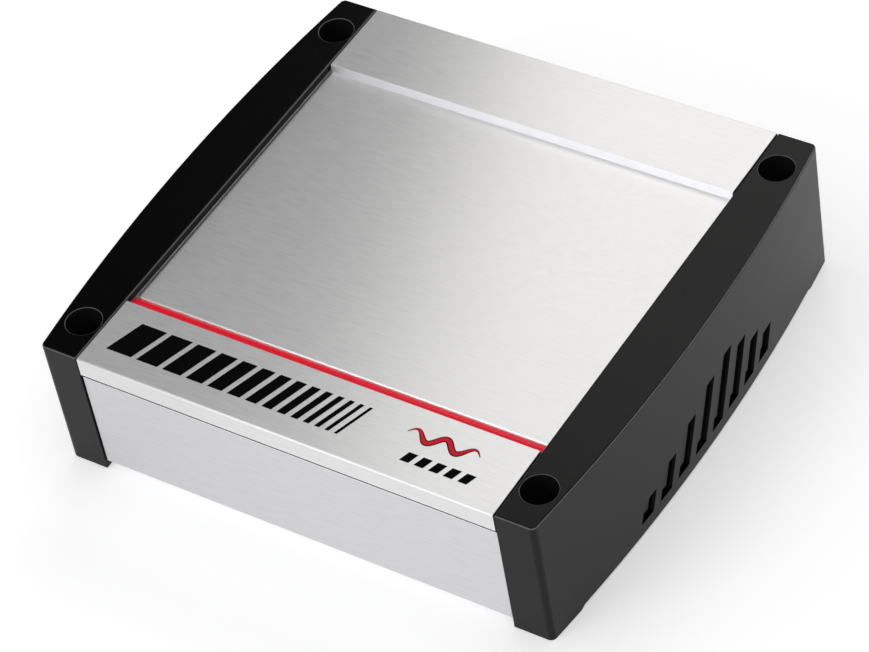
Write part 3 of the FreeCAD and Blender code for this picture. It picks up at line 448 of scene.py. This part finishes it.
def ribbon(pts, w, closed=False):
    """Outline of a band of width w (mm) along a polyline."""
    left, rgt = [], []
    n = len(pts)
    for i in range(n):
        p0, p1 = Vector(pts[max(0, i - 1)]), Vector(pts[min(n - 1, i + 1)])
        d = (p1 - p0).normalized()
        q = Vector(pts[i])
        left.append((q.x - d.y * w / 2, q.y + d.x * w / 2))
        rgt.append((q.x + d.y * w / 2, q.y - d.x * w / 2))
    return left + rgt[::-1]


def band(name, lines, z, t, w, mat, body=BASE, pointed=False):
    """Printed line of width w along each polyline, built from short quads."""
    b = bmesh.new()
    for pts in lines:
        n = len(pts)
        rows = []
        for i in range(n):
            p0, p1 = Vector(pts[max(0, i - 1)]), Vector(pts[min(n - 1, i + 1)])
            d = (p1 - p0).normalized()
            q = Vector(pts[i])
            ww = w
            if pointed:
                ww = w * min(1.0, 0.12 + 3.2 * min(i, n - 1 - i) / (n - 1))
            a1, a2 = (q.x - d.y * ww / 2, q.y + d.x * ww / 2), (q.x + d.y * ww / 2, q.y - d.x * ww / 2)
            rows.append([b.verts.new((a1[0] * MM, a1[1] * MM, z)), b.verts.new((a2[0] * MM, a2[1] * MM, z)),
                         b.verts.new((a1[0] * MM, a1[1] * MM, z + t)), b.verts.new((a2[0] * MM, a2[1] * MM, z + t))])
        for r0, r1 in zip(rows, rows[1:]):
            b.faces.new((r0[2], r1[2], r1[3], r0[3]))
            b.faces.new((r0[0], r0[1], r1[1], r1[0]))
            b.faces.new((r0[0], r1[0], r1[2], r0[2]))
            b.faces.new((r0[1], r0[3], r1[3], r1[1]))
        b.faces.new((rows[0][0], rows[0][2], rows[0][3], rows[0][1]))
        b.faces.new((rows[-1][0], rows[-1][1], rows[-1][3], rows[-1][2]))
    bmesh.ops.recalc_face_normals(b, faces=b.faces)
    mesh = bpy.data.meshes.new(name)
    b.to_mesh(mesh)
    b.free()
    o = bpy.data.objects.new(name, mesh)
    coll.objects.link(o)
    mesh.materials.append(mat)
    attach(o, body)
    return o


# one bold wave, red on a black edge, and a row of plain dashes under it
def wave(x0, x1, yc, amp, turns, phase, n=96):
    out = []
    for i in range(n + 1):
        f = i / n
        out.append((x0 + (x1 - x0) * f, yc + amp * math.sin(2 * math.pi * turns * f + phase)))
    return out


WAVE = wave(43.0, 74.0, -85.9, 2.35, 2.5, 0.0)
band("front_wave_edge", [WAVE], TOP, 0.00005, 2.7, M["print_black"], pointed=True)
band("front_wave_red", [WAVE[2:-2]], TOP + 0.00005, 0.00004, 1.75, M["print_red"], pointed=True)
plate("front_dashes", [[(x, -99.2), (x + 3.9, -99.2), (x + 5.5, -94.5), (x + 1.6, -94.5)] for x in (47.5, 53.7, 59.9, 66.1, 72.3)],
      TOP, 0.00006, M["print_black"])


# ------------------------------------------------------------------ printed marks on the rear
def upright(name, outlines, y, t, mat, body=BASE):
    """Thin printed film on a face that looks along +Y: outlines are (x, z) in mm."""
    b = bmesh.new()
    for pts in outlines:
        lo = [b.verts.new((x * MM, y * MM, z * MM)) for x, z in pts]
        hi = [b.verts.new((x * MM, (y + t) * MM, z * MM)) for x, z in pts]
        n = len(pts)
        b.faces.new(hi)
        b.faces.new(list(reversed(lo)))
        for i in range(n):
            b.faces.new((lo[i], lo[(i + 1) % n], hi[(i + 1) % n], hi[i]))
    bmesh.ops.recalc_face_normals(b, faces=b.faces)
    mesh = bpy.data.meshes.new(name)
    b.to_mesh(mesh)
    b.free()
    o = bpy.data.objects.new(name, mesh)
    coll.objects.link(o)
    mesh.materials.append(mat)
    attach(o, body)
    return o


def rect(xc, zc, w, h):
    return [(xc - w / 2, zc - h / 2), (xc + w / 2, zc - h / 2), (xc + w / 2, zc + h / 2), (xc - w / 2, zc + h / 2)]


def ring_quads(xc, zc, r, w, n=20):
    out = []
    for i in range(n):
        a0, a1 = 2 * math.pi * i / n, 2 * math.pi * (i + 1) / n
        out.append([(xc + (r - w / 2) * math.cos(a0), zc + (r - w / 2) * math.sin(a0)),
                    (xc + (r + w / 2) * math.cos(a0), zc + (r + w / 2) * math.sin(a0)),
                    (xc + (r + w / 2) * math.cos(a1), zc + (r + w / 2) * math.sin(a1)),
                    (xc + (r - w / 2) * math.cos(a1), zc + (r - w / 2) * math.sin(a1))])
    return out


def disc(xc, zc, r, n=20):
    return [[(xc + r * math.cos(2 * math.pi * i / n), zc + r * math.sin(2 * math.pi * i / n)) for i in range(n)]]


M["print_white"] = plain("print_white", (0.78, 0.78, 0.76), 0.45, scale=900, var=0.05)
PANEL, ROW_Z = 93.0, 43.5
KNOBS = {"gain": -34.0, "low_pass": -16.0, "bass_boost": 2.0}
marks = []
for nm, kx in KNOBS.items():
    for k in range(11):
        a = math.radians(-140 + 28 * k)
        # seen from behind, +X is on the left
        ux, uz = -math.sin(a), math.cos(a)
        r0, r1, w = (5.7, 7.0, 0.42) if k in (0, 5, 10) else (5.7, 6.5, 0.3)
        marks.append([(kx + ux * r0 - uz * w / 2, ROW_Z + uz * r0 + ux * w / 2), (kx + ux * r1 - uz * w / 2, ROW_Z + uz * r1 + ux * w / 2),
                      (kx + ux * r1 + uz * w / 2, ROW_Z + uz * r1 - ux * w / 2), (kx + ux * r0 + uz * w / 2, ROW_Z + uz * r0 - ux * w / 2)])
    # dial numbers 0 and 10
    zx, zz, hh, lw = kx + 5.9, 36.4, 1.9, 0.28
    marks += [rect(zx - 0.55, zz, lw, hh), rect(zx + 0.55, zz, lw, hh), rect(zx, zz + hh / 2 - lw / 2, 0.82, lw), rect(zx, zz - hh / 2 + lw / 2, 0.82, lw)]
    tx = kx - 5.9
    marks += [rect(tx + 0.95, zz, lw, hh)]
    marks += [rect(tx - 0.75, zz, lw, hh), rect(tx + 0.25, zz, lw, hh), rect(tx - 0.25, zz + hh / 2 - lw / 2, 0.72, lw), rect(tx - 0.25, zz - hh / 2 + lw / 2, 0.72, lw)]
# a growing wedge, a falling slope and a hump name the three controls
kx = KNOBS["gain"]
marks.append([(kx + 2.2, 35.5), (kx - 2.2, 35.5), (kx - 2.2, 37.5)])
kx = KNOBS["low_pass"]
marks += [rect(kx + 1.1, 37.2, 2.2, 0.35), [(kx + 0.0, 37.37), (kx + 0.0, 36.95), (kx - 1.9, 35.4), (kx - 2.3, 35.4)]]
kx = KNOBS["bass_boost"]
hump = [(kx + 2.3 - 4.6 * i / 16, 35.6 + 1.9 * math.exp(-((i - 8) / 3.0) ** 2)) for i in range(17)]
for h0, h1 in zip(hump, hump[1:]):
    marks.append([(h0[0], h0[1] - 0.17), (h1[0], h1[1] - 0.17), (h1[0], h1[1] + 0.17), (h0[0], h0[1] + 0.17)])
# switch positions: dots that grow
for xs, sizes in ((21.0, (0.35, 0.55, 0.75)), (39.0, (0.4, 0.75))):
    step = 2.5 if len(sizes) == 3 else 3.2
    for i, r in enumerate(sizes):
        marks += disc(xs + (len(sizes) - 1) * step / 2 - i * step, 39.4, r, 16)
# lamps: an upright bar in a ring for power, a triangle for protection
marks += ring_quads(54.0, 39.4, 1.05, 0.28) + [rect(54.0, 39.75, 0.3, 1.3)]
marks += [[(62.0 - 1.35, 38.5), (62.0 + 1.35, 38.5), (62.0 + 1.08, 38.75), (62.0 - 1.08, 38.75)],
          [(62.0 - 1.35, 38.5), (62.0 - 1.0, 38.5), (62.0 + 0.1, 40.55), (62.0, 40.9)],
          [(62.0 + 1.35, 38.5), (62.0 + 1.0, 38.5), (62.0 - 0.1, 40.55), (62.0, 40.9)]]
upright("rear_panel_marks", marks, PANEL, 0.05, M["print_white"])

face = []
plus = lambda x, z, s: [rect(x, z, s, s * 0.24), rect(x, z + s * 0.31, s * 0.24, s * 0.38), rect(x, z - s * 0.31, s * 0.24, s * 0.38)]
face += plus(77.5, 29.6, 2.6)
# chassis ground: a stem on three bars
face += [rect(63.5, 30.5, 0.35, 1.1), rect(63.5, 29.8, 2.8, 0.34), rect(63.5, 29.0, 1.8, 0.34), rect(63.5, 28.2, 0.8, 0.34)]
face += ring_quads(51.0, 29.4, 0.95, 0.3)
upright("power_terminal_marks", face, 106.0, 0.05, M["print_white"])
face = []
for i in range(4):
    xs = -31.75 + 10.5 * i
    face += plus(xs, 27.6, 2.0) if i % 2 else [rect(xs, 27.6, 2.0, 0.48)]
upright("speaker_terminal_marks", face, 106.0, 0.05, M["print_white"])
face = [[(-74.25, 45.2), (-73.0, 47.2), (-75.5, 47.2)], [(-74.25, 32.8), (-73.0, 30.8), (-75.5, 30.8)]]
upright("phono_marks", face, 95.2, 0.05, M["print_white"])

# white inlay in the pointer slot of each knob
for nm, kx in KNOBS.items():
    b = bmesh.new()
    x0, x1, y0, y1, z0, z1 = kx - 0.43, kx + 0.43, 101.3, 101.82, ROW_Z + 0.25, ROW_Z + 4.0
    vs = [b.verts.new((x * MM, y * MM, z * MM)) for x in (x0, x1) for y in (y0, y1) for z in (z0, z1)]
    for f in ((0, 1, 3, 2), (4, 6, 7, 5), (0, 4, 5, 1), (2, 3, 7, 6), (0, 2, 6, 4), (1, 5, 7, 3)):
        b.faces.new([vs[i] for i in f])
    bmesh.ops.recalc_face_normals(b, faces=b.faces)
    bmesh.ops.bevel(b, geom=list(b.edges), offset=0.00012, segments=2, profile=0.5, affect="EDGES")
    mesh = bpy.data.meshes.new(nm + "_pointer")
    b.to_mesh(mesh)
    b.free()
    o = bpy.data.objects.new(nm + "_pointer", mesh)
    coll.objects.link(o)
    mesh.materials.append(M["print_white"])
    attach(o, nm + "_control")
